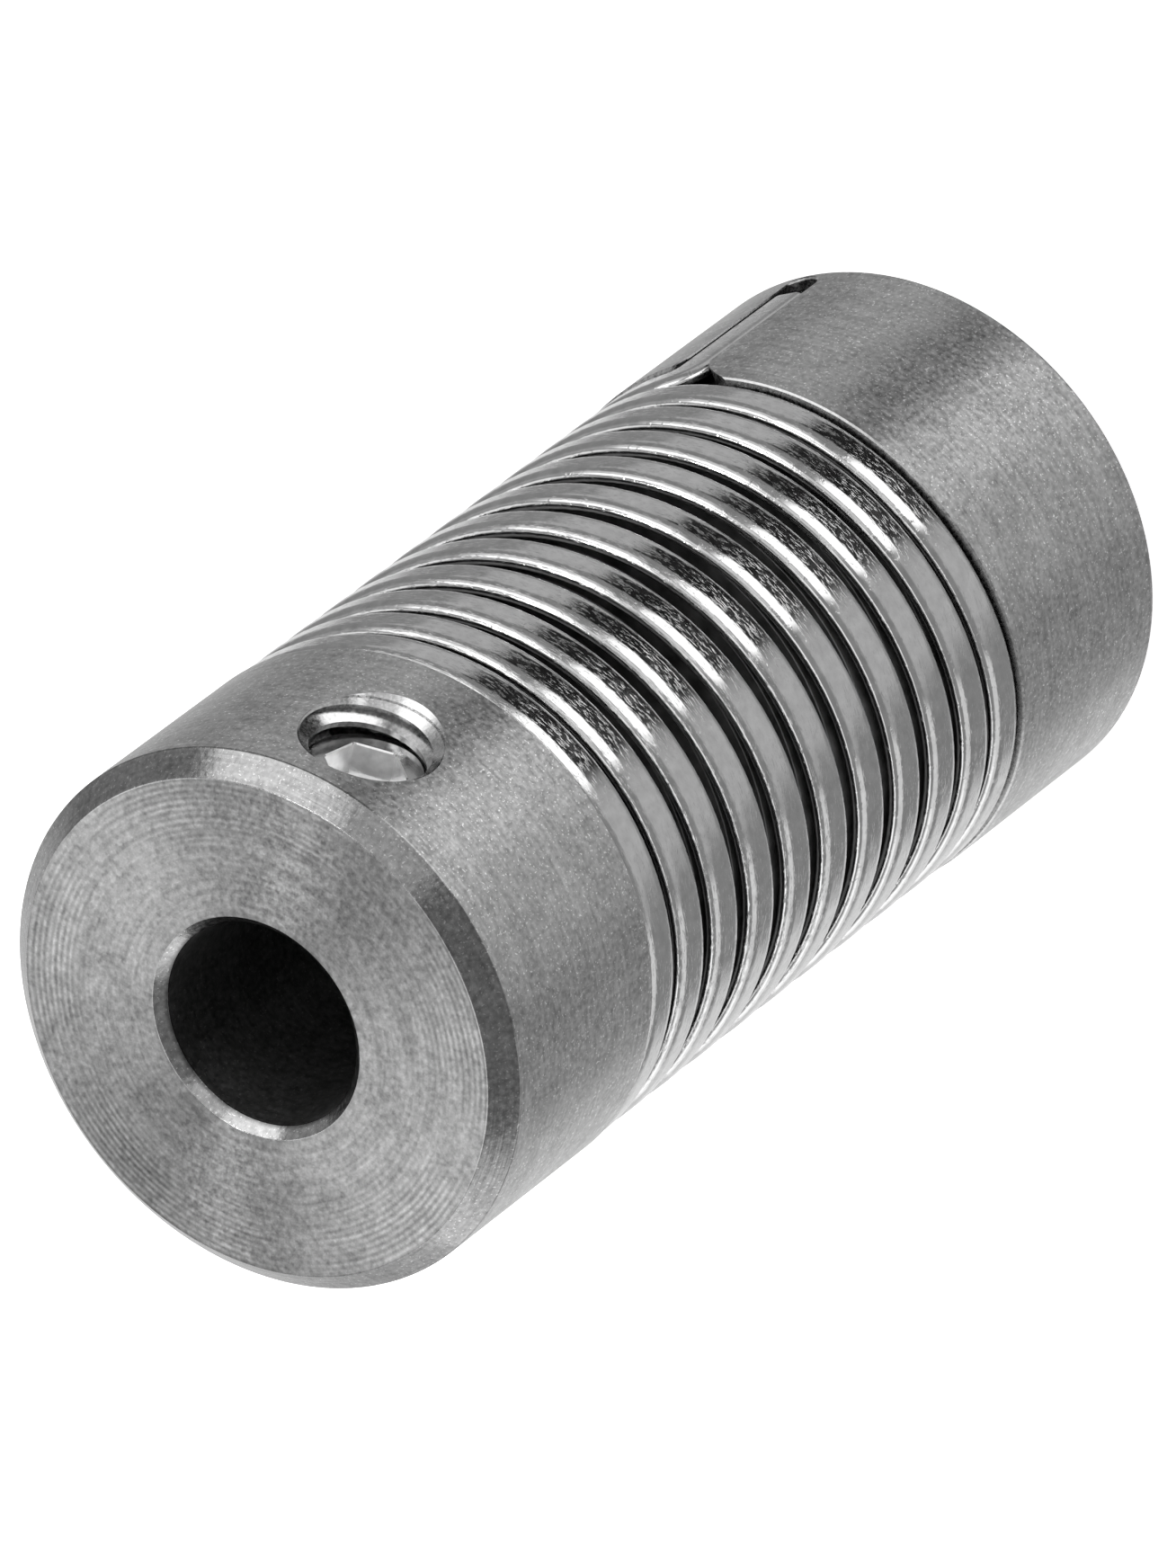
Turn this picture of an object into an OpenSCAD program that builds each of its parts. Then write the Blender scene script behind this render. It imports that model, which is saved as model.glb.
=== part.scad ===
// Spring coupling for two shafts in line.
// Two turned hubs carry three springs of flat wire, wound right, left and right over one another.
// The coupling stands on its rear hub, with its axis along Z and its front hub on top.

/* [Coupling] */
// Outside diameter of both hubs
outer_d = 16; // [15:0.1:20]
// Length from end face to end face
length = 35; // [34:0.1:45]
// Diameter of the shaft bores
bore_d = 6; // [3:0.1:8]

/* [Hubs] */
// Length of the full-diameter collar on the low side of the wire's slot
collar_len = 7; // [6.6:0.05:7.6]
// Length of the spigot that reaches into the springs
spigot_len = 3; // [1.5:0.1:4]
// Chamfer on the outer edge of the end face
end_chamfer = 0.65; // [0.3:0.05:1]
// Chamfer at the outer mouth of the bore
bore_chamfer = 0.3; // [0.1:0.05:0.8]
// Chamfers on the inner end of the spigot
spigot_chamfer = 0.2; // [0.1:0.05:0.5]

/* [Flat wire] */
// Width of the wire along the axis
wire_w = 1.28; // [1.1:0.01:1.4]
// Thickness of the wire across the axis
wire_t = 0.5; // [0.4:0.01:0.6]
// Width of the rounded edge on each side of the outer wire
edge_len = 0.33; // [0.2:0.01:0.5]
// Depth of the outer spring below the hub's surface
wire_sink = 0.05; // [0.02:0.01:0.2]

/* [Outer spring] */
// Turns from the rear slot to the front slot
turns = 11.235; // [9:0.005:12]
// Gap between turns at the very ends, before the coil opens
end_gap = 0.08; // [0.04:0.01:0.15]
// Land between the end chamfer and the closed end of the slot
slot_land = 0.15; // [0.1:0.05:0.5]
// Length of slot left empty past the cut end of the wire's leg
leg_short = 1.1; // [0.9:0.05:2]
// Inside radius of the bend from the coil into the leg
bend_in_r = 0.15; // [0.1:0.01:0.18]
// Radius of the slot's mouth on its high side
mouth_r = 1.25; // [0.4:0.05:1.4]

/* [Inner springs] */
// Turns of the middle spring and of the inner spring
inner_turns = 10; // [8:0.25:11]
// Thickness left at the ground tips of their wire
tip_t = 0.3; // [0.2:0.05:0.5]

/* [Set screws] */
// Thread diameter
screw_d = 4; // [3:0.1:4.5]
// Length of the screw
screw_len = 3; // [2.5:0.1:3.5]
// Distance from the end face to the screw's axis
screw_from_end = 3.5; // [3:0.1:4]
// Angle from the wire's slot to the screw
screw_from_slot = 120; // [60:1:300]
// Diameter of the countersink at the hole's mouth
mouth_d = 4.4; // [4.2:0.05:5]
// Distance of the screw's point from the shaft bore
tip_back = 0.9; // [0.1:0.05:1]
// Hexagon socket across flats
hex_af = 2; // [1.5:0.1:2.2]
// Depth of the socket's flats
hex_depth = 0.9; // [0.7:0.1:1.6]
// Turn of the socket's corners from the hub's axis
hex_turn = 48; // [0:1:60]
// Diameter of the cup in the screw's point
cup_d = 2.2; // [1.6:0.1:2.6]
// Chamfer on both ends of the thread
thread_chamfer = 0.35; // [0.2:0.05:0.5]

/* [Fits] */
// Room between the layers of wire, and between the inner spring and the spigot
layer_gap = 0.05; // [0.05:0.01:0.1]
// Room between the wire and its slot and seat
seat_gap = 0.06; // [0.06:0.01:0.1]
// Room between the screw and its hole
thread_gap = 0.05; // [0.03:0.01:0.1]

/* [Hidden] */

round_fn = 96;
outer_fn = 36;
inner_fn = 30;
bend_steps = 6;
past = 1;

outer_r = outer_d / 2;
bore_r = bore_d / 2;

// Middle radius of each layer of wire, from the outside in
layer_step = wire_t + layer_gap;
outer_mid_r = outer_r - wire_sink - wire_t / 2;
middle_mid_r = outer_mid_r - layer_step;
inner_mid_r = middle_mid_r - layer_step;
spigot_r = inner_mid_r - wire_t / 2 - layer_gap;
ledge_r = outer_mid_r - wire_t / 2 - layer_gap;

// The outer wire lies close at its ends, and its gaps open towards the middle of the coil
end_lead = wire_w + end_gap;
first_z = collar_len + seat_gap + wire_w / 2;
climb = length - 2 * first_z;
mid_swell = (climb - end_lead * turns) * PI / (2 * turns);

// Each end turn leaves its slot with a short rise, lies flat on the shoulder and climbs over its own leg
rise_share = 0.34;
rise_turns = 0.15;
climb_from = 0.58;
climb_turns = 0.27;
settle_turns = 3;

function ease(u) =
  let (c = max(0, min(1, u)))
  c * c * (3 - 2 * c);
function lay(t) =
  let (whole = floor(t), part = t - whole)
  whole + rise_share * ease(part / rise_turns) + (1 - rise_share) * ease((part - climb_from) / climb_turns);
function settle(t) = end_lead * (lay(t) - t) * max(0, min(1, 1 - (t - 1) / settle_turns));
function swell(t) = mid_swell * turns / PI * (1 - cos(180 * t / turns));
function wire_z(t) = first_z + end_lead * t + swell(t) + settle(t) - settle(turns - t);
function seat_z(t) = collar_len + end_lead * lay(t);

// The ledge that the inner springs stand on clears the top of the wire's seat
ledge_rise = 0.1;
collar_top = collar_len + end_lead + ledge_rise;
hub_len = collar_top + spigot_len;
inner_low = collar_top + seat_gap;
inner_high = length - inner_low;

// The front hub is turned so that its set screw points along +X
front_slot = screw_from_slot;
rear_slot = front_slot - 360 * turns;

// A wire's path is a list of [distance round the coil, height, heading], unrolled at its middle radius
outer_round = 2 * PI * outer_mid_r;
slot_low = end_chamfer + slot_land;
leg_end = slot_low + leg_short;
bend_r = bend_in_r + wire_w / 2;
bend_t = bend_r / outer_round;
bend_top = wire_z(bend_t);
probe = 0.001;

function heading(t) = atan2(wire_z(t + probe) - wire_z(t - probe), 2 * probe * outer_round);
function half_turn(p) = [turns * outer_round - p[0], length - p[1], p[2]];

leg_path = concat(
  [[0, leg_end, 90]],
  [for (k = [0 : bend_steps - 1])
    let (a = 90 - 90 * k / bend_steps)
    [bend_r * (1 - sin(a)), bend_top - bend_r * (1 - cos(a)), a]]
);
coil_steps = ceil(turns * outer_fn);
coil_path = [for (k = [0 : coil_steps])
  let (t = bend_t + (turns - 2 * bend_t) * k / coil_steps)
  [t * outer_round, wire_z(t), heading(t)]];
outer_path = concat(leg_path, coil_path, [for (k = [len(leg_path) - 1 : -1 : 0]) half_turn(leg_path[k])]);

// Rolled wire has round edges, drawn with a flat between two slopes
edge_flat = wire_t * tan(30) / 2;
edge_in = wire_w / 2 - edge_len;
round_section = [
  [-edge_in, -wire_t / 2],
  [edge_in, -wire_t / 2],
  [wire_w / 2, -edge_flat],
  [wire_w / 2, edge_flat],
  [edge_in, wire_t / 2],
  [-edge_in, wire_t / 2],
  [-wire_w / 2, edge_flat],
  [-wire_w / 2, -edge_flat]
];
square_section = [
  [-wire_w / 2, -wire_t / 2],
  [wire_w / 2, -wire_t / 2],
  [wire_w / 2, wire_t / 2],
  [-wire_w / 2, wire_t / 2]
];

// Flat wire along a path that is wrapped round a cylinder, with its ends ground off below low and above high
module flat_wire(path, section, mid_r, low, high) {
  n = len(section);
  rings = len(path);
  points = [for (p = path, q = section)
    let (
      turn = (p[0] - q[0] * sin(p[2])) / mid_r * 180 / PI,
      r = mid_r + q[1],
      z = p[1] + q[0] * cos(p[2])
    )
    [r * cos(turn), r * sin(turn), max(low, min(high, z))]];
  sides = [for (i = [0 : rings - 2], j = [0 : n - 1])
    let (a = i * n + j, b = i * n + (j + 1) % n)
    each [[a, a + n, b + n], [a, b + n, b]]];
  first_cap = [for (j = [0 : n - 1]) j];
  last_cap = [for (j = [n - 1 : -1 : 0]) (rings - 1) * n + j];
  polyhedron(points, concat(sides, [first_cap, last_cap]));
}

// Closed spring with ground ends, between the ledges of the two hubs
module ground_spring(mid_r) {
  steps = ceil(inner_turns * inner_fn);
  start_z = inner_low + tip_t - wire_w / 2;
  rise = length - 2 * start_z;
  round = 2 * PI * mid_r * inner_turns;
  slope = atan2(rise, round);
  path = [for (k = [0 : steps]) [round * k / steps, start_z + rise * k / steps, slope]];
  flat_wire(path, square_section, mid_r, inner_low, inner_high);
}

// Collar, ledge and spigot, turned in one piece with the shaft bore
module hub_blank() {
  rotate_extrude($fn = round_fn)
    polygon([
      [bore_r + bore_chamfer, 0],
      [outer_r - end_chamfer, 0],
      [outer_r, end_chamfer],
      [outer_r, collar_top],
      [spigot_r, collar_top],
      [spigot_r, hub_len - spigot_chamfer],
      [spigot_r - spigot_chamfer, hub_len],
      [bore_r + spigot_chamfer, hub_len],
      [bore_r, hub_len - spigot_chamfer],
      [bore_r, bore_chamfer]
    ]);
}

// Space above the helical shoulder, where the first turn of the outer wire lies
module wire_seat() {
  steps = 2 * outer_fn;
  edge_t = 0.005;
  in_r = bore_r;
  out_r = outer_r + 2 * past;
  top = collar_top + past;
  points = [for (k = [0 : steps])
    let (
      t = edge_t + (1 - 2 * edge_t) * k / steps,
      c = cos(360 * t),
      s = sin(360 * t),
      floor_z = seat_z(t)
    )
    each [
      [in_r * c, in_r * s, floor_z],
      [in_r * c, in_r * s, top],
      [out_r * c, out_r * s, top],
      [out_r * c, out_r * s, floor_z]
    ]];
  sides = [for (k = [0 : steps - 1], j = [0 : 3])
    let (a = 4 * k + j, b = 4 * k + (j + 1) % 4)
    each [[a, a + 4, b + 4], [a, b + 4, b]]];
  last = 4 * steps;
  intersection() {
    difference() {
      cylinder(h = top, r = outer_r + past, $fn = round_fn);
      translate([0, 0, -past])
        cylinder(h = top + 2 * past, r = ledge_r, $fn = round_fn);
    }
    polyhedron(points, concat(sides, [[0, 1, 2, 3], [last + 3, last + 2, last + 1, last]]));
  }
}

// Slot for the wire's leg, milled to a round end, and rounded where the wire swings in over the shoulder
module leg_slot() {
  slot_w = wire_w + 2 * seat_gap;
  floor_x = outer_mid_r - wire_t / 2 - seat_gap;
  deep = outer_r + past - floor_x;
  high = collar_len + end_lead;
  end_z = slot_low + slot_w / 2;
  translate([floor_x, 0, end_z])
    rotate([0, 90, 0])
      cylinder(h = deep, d = slot_w, $fn = round_fn);
  translate([floor_x, -slot_w / 2, end_z])
    cube([deep, slot_w, collar_top + past - end_z]);
  difference() {
    translate([floor_x, -slot_w / 2 - mouth_r, high - mouth_r])
      cube([deep, mouth_r + slot_w / 2, mouth_r + past]);
    translate([floor_x - past, -slot_w / 2 - mouth_r, high - mouth_r])
      rotate([0, 90, 0])
        cylinder(h = deep + 2 * past, r = mouth_r, $fn = round_fn);
  }
}

// Tapped hole for the set screw, from the bore to a countersunk mouth
module screw_hole() {
  hole_r = screw_d / 2;
  rim_r = mouth_d / 2;
  sink = rim_r - hole_r;
  rotate([0, 0, screw_from_slot])
    translate([0, 0, screw_from_end])
      rotate([0, 90, 0]) {
        cylinder(h = outer_r + past, r = hole_r, $fn = round_fn);
        translate([0, 0, outer_r - sink])
          cylinder(h = sink + past, r1 = hole_r, r2 = rim_r + past, $fn = round_fn);
      }
}

// One hub, standing on its end face with its slot towards +X
module hub() {
  difference() {
    hub_blank();
    wire_seat();
    leg_slot();
    screw_hole();
  }
}

// One set screw in its place in that hub, with its socket outwards and a cup point towards the shaft
module set_screw() {
  thread_r = screw_d / 2 - thread_gap;
  point_r = thread_r - thread_chamfer;
  cup_r = cup_d / 2;
  cup_deep = cup_r * tan(30);
  hex_r = hex_af / 2 / cos(30);
  rotate([0, 0, screw_from_slot])
    translate([bore_r + tip_back, 0, screw_from_end])
      rotate([0, 90, 0])
        difference() {
          rotate_extrude($fn = round_fn)
            polygon([
              [0, cup_deep],
              [cup_r, 0],
              [point_r, 0],
              [thread_r, thread_chamfer],
              [thread_r, screw_len - thread_chamfer],
              [point_r, screw_len],
              [0, screw_len]
            ]);
          translate([0, 0, screw_len - hex_depth])
            rotate([0, 0, hex_turn])
              cylinder(h = hex_depth + past, r = hex_r, $fn = 6);
        }
}

module at_rear() {
  rotate([0, 0, rear_slot])
    children();
}

module at_front() {
  translate([0, 0, length])
    rotate([0, 0, front_slot])
      rotate([180, 0, 0])
        children();
}

module rear_hub() {
  color("#8f8f8d")
    at_rear()
      hub();
}

module front_hub() {
  color("#8f8f8d")
    at_front()
      hub();
}

module rear_set_screw() {
  color("#b9b9b7")
    at_rear()
      set_screw();
}

module front_set_screw() {
  color("#b9b9b7")
    at_front()
      set_screw();
}

module outer_spring() {
  color("#a8a8a6")
    at_rear()
      flat_wire(outer_path, round_section, outer_mid_r, 0, length);
}

module middle_spring() {
  color("#9c9c9a")
    mirror([0, 1, 0])
      ground_spring(middle_mid_r);
}

module inner_spring() {
  color("#929290")
    ground_spring(inner_mid_r);
}

rear_hub();
rear_set_screw();
inner_spring();
middle_spring();
outer_spring();
front_hub();
front_set_screw();
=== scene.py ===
import math

import bmesh
import bpy
from mathutils import Matrix, Vector


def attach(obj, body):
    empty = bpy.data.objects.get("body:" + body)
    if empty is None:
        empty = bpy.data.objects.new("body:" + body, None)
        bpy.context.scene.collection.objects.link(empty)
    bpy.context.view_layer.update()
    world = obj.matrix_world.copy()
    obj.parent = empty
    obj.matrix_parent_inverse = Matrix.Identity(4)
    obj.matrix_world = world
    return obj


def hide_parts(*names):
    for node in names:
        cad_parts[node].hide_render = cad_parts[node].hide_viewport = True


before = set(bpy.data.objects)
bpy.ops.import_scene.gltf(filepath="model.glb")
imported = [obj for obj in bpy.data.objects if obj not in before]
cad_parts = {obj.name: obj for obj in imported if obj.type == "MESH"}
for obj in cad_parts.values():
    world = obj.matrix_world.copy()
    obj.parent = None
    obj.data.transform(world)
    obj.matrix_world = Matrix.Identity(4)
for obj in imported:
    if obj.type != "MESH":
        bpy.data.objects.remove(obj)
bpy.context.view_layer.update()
scene = bpy.context.scene


# Camera
# A long lens looks down on the front end face from the side of the front set screw.
# It is rolled, so that the axis of the coupling climbs from lower left to upper right.
camera_place = Vector((0.3352, -0.2229, 0.4820))
camera_right = Vector((0.16674, -0.83642, -0.52209))
camera_up = Vector((0.82112, 0.41092, -0.39608))
camera_back = Vector((0.54583, -0.36266, 0.75534))

camera_data = bpy.data.cameras.new("camera")
camera_data.lens = 512
camera_data.sensor_width = 36
camera_data.clip_start = 0.05
camera_data.clip_end = 20
camera = bpy.data.objects.new("camera", camera_data)
camera_turn = Matrix((camera_right, camera_up, camera_back)).transposed()
camera.matrix_world = Matrix.Translation(camera_place) @ camera_turn.to_4x4()
scene.collection.objects.link(camera)
scene.camera = camera


# Hubs
# Both hubs are turned from bright steel bar, bored for the shaft and chamfered at the rim and the bore.
# A helical shoulder and an axial slot are milled for the end of the wire, and a radial hole is tapped
# for the set screw. The front hub is the rear hub turned end for end. Sizes here are in millimetres.
length = 35.0
outer_r = 8.0
bore_r = 3.0
collar_len = 7.0
collar_top = 8.46
hub_len = 11.46
spigot_r = 6.3
ledge_r = 7.4
seat_gap = 0.06
end_lead = 1.36
wire_turns = 11.235
front_slot = math.radians(120)
rear_slot = front_slot - 2 * math.pi * wire_turns
at_rear = Matrix.Rotation(rear_slot, 4, "Z")
end_for_end = Matrix.Rotation(math.pi, 4, "X")
at_front = Matrix.Translation((0, 0, length)) @ Matrix.Rotation(front_slot, 4, "Z") @ end_for_end
to_metres = Matrix.Scale(0.001, 4)


def round_corners(outline, steps=5):
    """Rounds each corner of a closed outline of (radius, height, corner radius)."""
    points = []
    for k, (r, z, corner_r) in enumerate(outline):
        here = Vector((r, z))
        before = Vector(outline[k - 1][:2])
        after = Vector(outline[(k + 1) % len(outline)][:2])
        into = (before - here).normalized()
        away = (after - here).normalized()
        half = into.angle(away) / 2
        reach = corner_r / math.tan(half)
        centre = here + (into + away).normalized() * corner_r / math.sin(half)
        start = here + into * reach - centre
        end = here + away * reach - centre
        for s in range(steps + 1):
            points.append(centre + start.slerp(end, s / steps).normalized() * corner_r)
    return points


def turned_mesh(name, outline, segments):
    """Turns a closed outline of (radius, height) points round Z."""
    bm = bmesh.new()
    rings = []
    for k in range(segments):
        a = 2 * math.pi * k / segments
        rings.append([bm.verts.new((p[0] * math.cos(a), p[0] * math.sin(a), p[1])) for p in outline])
    for k in range(segments):
        here = rings[k]
        after = rings[(k + 1) % segments]
        for j in range(len(outline)):
            n = (j + 1) % len(outline)
            bm.faces.new((here[j], after[j], after[n], here[n]))
    bmesh.ops.recalc_face_normals(bm, faces=bm.faces)
    mesh = bpy.data.meshes.new(name)
    bm.to_mesh(mesh)
    bm.free()
    return mesh


def lofted_mesh(name, rings, closed=False):
    """Skins a row of rings of points, with flat ends unless the row closes on itself."""
    bm = bmesh.new()
    rows = [[bm.verts.new(p) for p in ring] for ring in rings]
    pairs = list(zip(rows, rows[1:]))
    if closed:
        pairs.append((rows[-1], rows[0]))
    for here, after in pairs:
        for j in range(len(here)):
            n = (j + 1) % len(here)
            bm.faces.new((here[j], after[j], after[n], here[n]))
    if not closed:
        bm.faces.new(rows[0])
        bm.faces.new(list(reversed(rows[-1])))
    bmesh.ops.recalc_face_normals(bm, faces=bm.faces)
    mesh = bpy.data.meshes.new(name)
    bm.to_mesh(mesh)
    bm.free()
    return mesh


def ease(u):
    """Smooth step from 0 to 1."""
    c = max(0.0, min(1.0, u))
    return c * c * (3 - 2 * c)


# Each end turn leaves its slot with a short rise, lies flat on the shoulder and climbs over its own leg
rise_share = 0.34
rise_turns = 0.15
climb_from = 0.58
climb_turns = 0.27


def lay(t):
    """Share of its first lead that the wire has climbed after t turns."""
    part = t - math.floor(t)
    rise = rise_share * ease(part / rise_turns)
    climb = (1 - rise_share) * ease((part - climb_from) / climb_turns)
    return math.floor(t) + rise + climb


end_chamfer = 0.65
bore_chamfer = 0.3
spigot_chamfer = 0.2
face_edge = 0.07
rim_edge = 0.1
ledge_edge = 0.05
fine_edge = 0.04
hub_sides = 240
hub_outline = round_corners([
    (bore_r + bore_chamfer, 0, fine_edge),
    (outer_r - end_chamfer, 0, face_edge),
    (outer_r, end_chamfer, rim_edge),
    (outer_r, collar_top, fine_edge),
    (spigot_r, collar_top, ledge_edge),
    (spigot_r, hub_len - spigot_chamfer, fine_edge),
    (spigot_r - spigot_chamfer, hub_len, fine_edge),
    (bore_r + spigot_chamfer, hub_len, fine_edge),
    (bore_r, hub_len - spigot_chamfer, fine_edge),
    (bore_r, bore_chamfer, fine_edge),
])
hub_blank = turned_mesh("hub_blank", hub_outline, hub_sides)

# Milled away above the helical shoulder, where the first turn of the wire lies. Its edge is broken.
edge_break = 0.05
cut_past = 1.0
seat_steps = 240
seat_margin = 0.005
seat_rings = []
for k in range(seat_steps + 1):
    t = seat_margin + (1 - 2 * seat_margin) * k / seat_steps
    c = math.cos(2 * math.pi * t)
    s = math.sin(2 * math.pi * t)
    low = collar_len + end_lead * lay(t)
    high = collar_top + cut_past
    corners = [
        (ledge_r, low),
        (ledge_r, high),
        (outer_r + cut_past, high),
        (outer_r + cut_past, low - 2 * edge_break),
        (outer_r + edge_break, low - 2 * edge_break),
        (outer_r - edge_break, low),
    ]
    seat_rings.append([(r * c, r * s, z) for r, z in corners])
seat_cut = lofted_mesh("seat_cut", seat_rings)

# Slot for the leg of the wire: a round end, an eased mouth on its open side and a broken edge.
# On the other side braze laps over the round edge of the leg, up to where the wire starts to bend.
slot_half = 0.7
slot_floor = 7.39
slot_land = 0.15
slot_end = end_chamfer + slot_land + slot_half
slot_mouth = 1.25
slot_high = collar_len + end_lead
mouth_bulge = 0.35
slot_end_steps = 24
mouth_steps = 12
braze_full_z = 6.3
braze_end_z = 6.8
braze_lap = 0.2


def slot_outline(grow, lap):
    """The slot seen from outside as (distance round, height), with its broken edge and its lap of braze."""
    half = slot_half + grow
    reach = slot_mouth - grow
    mouth_y = -slot_half - slot_mouth
    mouth_z = slot_high - slot_mouth
    outline = []
    for k in range(slot_end_steps + 1):
        a = math.pi * k / slot_end_steps
        outline.append((min(half * math.cos(a), slot_half - lap), slot_end - half * math.sin(a)))
    for k in range(mouth_steps + 1):
        share = k / mouth_steps
        a = math.pi / 2 * share
        y = (1 - share) * (1 - mouth_bulge) + math.cos(a) * mouth_bulge
        z = share * (1 - mouth_bulge) + math.sin(a) * mouth_bulge
        outline.append((mouth_y + reach * y, mouth_z + reach * z))
    outline.append((mouth_y, collar_top + cut_past))
    outline.append((slot_half, collar_top + cut_past))
    outline.append((slot_half, braze_end_z))
    outline.append((slot_half - lap, braze_full_z))
    return outline


# Radius, broken edge and lap of braze at each level of the slot
slot_levels = [
    (slot_floor, 0.0, 0.0),
    (7.76, 0.0, 0.0),
    (7.85, 0.0, 0.06),
    (7.93, 0.0, braze_lap),
    (outer_r - 0.5 * edge_break, edge_break, braze_lap),
    (outer_r + cut_past, edge_break, braze_lap),
]
slot_rings = []
for x, grow, lap in slot_levels:
    slot_rings.append([(x, y, z) for y, z in slot_outline(grow, lap)])
slot_cut = lofted_mesh("slot_cut", slot_rings)

# Tapped hole with a 90 degree countersink, drilled along X and then turned to its place
hole_r = 2.0
rim_r = 2.2
sink_x = outer_r - (rim_r - hole_r)
drill_sides = 120
screw_from_end = 3.5
screw_from_slot = math.radians(120)
to_screw = Matrix.Rotation(screw_from_slot, 4, "Z") @ Matrix.Translation((0, 0, screw_from_end))


def drill(name, profile):
    """A round cutter along X, from a row of (distance from the hub's axis, radius)."""
    angles = [2 * math.pi * k / drill_sides for k in range(drill_sides)]
    rings = [[(x, r * math.cos(a), r * math.sin(a)) for a in angles] for x, r in profile]
    return lofted_mesh(name, rings)


sink_end = (sink_x + cut_past, hole_r + cut_past)
hole_cut = drill("hole_cut", [(0.0, hole_r), (sink_x, hole_r), sink_end])
hole_cut.transform(to_screw)

# Marks that a lathe tool leaves: fine grooves round the axis, which come and go along their length.
# They are counted along a leaning line, which crosses the outside, the chamfer and the end face alike.
tool_marks = bpy.data.node_groups.new("tool_marks", "ShaderNodeTree")
tool_marks.interface.new_socket("Place", in_out="INPUT", socket_type="NodeSocketVector")
tool_marks.interface.new_socket("Grooves per mm", in_out="INPUT", socket_type="NodeSocketFloat")
tool_marks.interface.new_socket("Breaks per mm", in_out="INPUT", socket_type="NodeSocketFloat")
tool_marks.interface.new_socket("Marks", in_out="OUTPUT", socket_type="NodeSocketFloat")
tool_marks.interface.new_socket("Radius", in_out="OUTPUT", socket_type="NodeSocketFloat")


def add_node(tree, kind, inputs=None, **settings):
    """Adds a node with its settings, and links or sets the inputs that are given."""
    node = tree.nodes.new(kind)
    for key, value in settings.items():
        setattr(node, key, value)
    for key, value in (inputs or {}).items():
        if isinstance(value, bpy.types.NodeSocket):
            tree.links.new(value, node.inputs[key])
        else:
            node.inputs[key].default_value = value
    return node


def calc(tree, operation, a, b=None, c=None):
    """Adds a Math node and returns its value."""
    given = {k: v for k, v in enumerate((a, b, c)) if v is not None}
    return add_node(tree, "ShaderNodeMath", given, operation=operation).outputs[0]


marks_in = tool_marks.nodes.new("NodeGroupInput").outputs
marks_place = add_node(tool_marks, "ShaderNodeSeparateXYZ", {0: marks_in["Place"]}).outputs
marks_xx = calc(tool_marks, "MULTIPLY", marks_place["X"], marks_place["X"])
marks_rr = calc(tool_marks, "MULTIPLY_ADD", marks_place["Y"], marks_place["Y"], marks_xx)
marks_r = calc(tool_marks, "SQRT", marks_rr)
marks_middle = calc(tool_marks, "SUBTRACT", marks_place["Z"], length / 2000)
marks_end = calc(tool_marks, "ABSOLUTE", marks_middle)
marks_lean = -1.3
marks_across = calc(tool_marks, "MULTIPLY_ADD", marks_end, marks_lean, marks_r)
marks_fine = calc(tool_marks, "MULTIPLY", marks_in["Grooves per mm"], 1000)
marks_runs = calc(tool_marks, "MULTIPLY", marks_in["Breaks per mm"], 1000)
marks_vector = add_node(tool_marks, "ShaderNodeCombineXYZ", {
    "X": calc(tool_marks, "MULTIPLY", marks_place["X"], marks_runs),
    "Y": calc(tool_marks, "MULTIPLY", marks_place["Y"], marks_runs),
    "Z": calc(tool_marks, "MULTIPLY", marks_across, marks_fine),
}).outputs[0]
marks_noise = add_node(tool_marks, "ShaderNodeTexNoise", {
    "Vector": marks_vector,
    "Scale": 1.0,
    "Detail": 3.0,
})
marks_out = tool_marks.nodes.new("NodeGroupOutput")
tool_marks.links.new(marks_noise.outputs["Fac"], marks_out.inputs["Marks"])
tool_marks.links.new(marks_r, marks_out.inputs["Radius"])


def spread(tree, value, low, high, to_low, to_high):
    """Carries a value from the range low to high over to another range, and returns it."""
    return add_node(tree, "ShaderNodeMapRange", {
        "Value": value,
        "From Min": low,
        "From Max": high,
        "To Min": to_low,
        "To Max": to_high,
    }).outputs["Result"]


def noise(tree, place, scale, detail):
    """Adds noise with a number of spots per metre and returns its value."""
    return add_node(tree, "ShaderNodeTexNoise", {
        "Vector": place,
        "Scale": scale,
        "Detail": detail,
    }).outputs["Fac"]


def bump(tree, height, distance, normal=None):
    """Adds a bump of a height in metres, on top of another normal if one is given, and returns its normal."""
    node = add_node(tree, "ShaderNodeBump", {"Height": height, "Strength": 1.0, "Distance": distance})
    if normal:
        tree.links.new(normal, node.inputs["Normal"])
    return node.outputs["Normal"]


def new_steel(name):
    """Starts a metal and returns it with its tree, its shader and the object's coordinates."""
    material = bpy.data.materials.new(name)
    material.use_nodes = True
    tree = material.node_tree
    shader = tree.nodes["Principled BSDF"]
    shader.inputs["Metallic"].default_value = 1.0
    return material, tree, shader, tree.nodes.new("ShaderNodeTexCoord").outputs


# Turned steel: grey and matte across the lathe's grooves, with bumpy grain, faint clouds and painted glinting
# specks.
# The end face and the chamfer are cut finer than the outside, and the bore is darkened with painted shade.
turned_steel, tree, shader, coords = new_steel("turned_steel")
grooves = add_node(tree, "ShaderNodeGroup", {"Place": coords["Object"]}, node_tree=tool_marks)
grooves.inputs["Grooves per mm"].default_value = 6.0
grooves.inputs["Breaks per mm"].default_value = 0.25
marks = grooves.outputs["Marks"]
radius = grooves.outputs["Radius"]
facing = calc(tree, "ABSOLUTE", add_node(tree, "ShaderNodeSeparateXYZ", {0: coords["Normal"]}).outputs["Z"])
grain = noise(tree, coords["Object"], 6500.0, 4.0)
clouds = noise(tree, coords["Object"], 900.0, 4.0)
mottle = calc(tree, "MULTIPLY_ADD", clouds, 0.3, calc(tree, "MULTIPLY", grain, 0.7))
streaks = spread(tree, marks, 0.3, 0.7, 0.87, 1.13)
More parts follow.
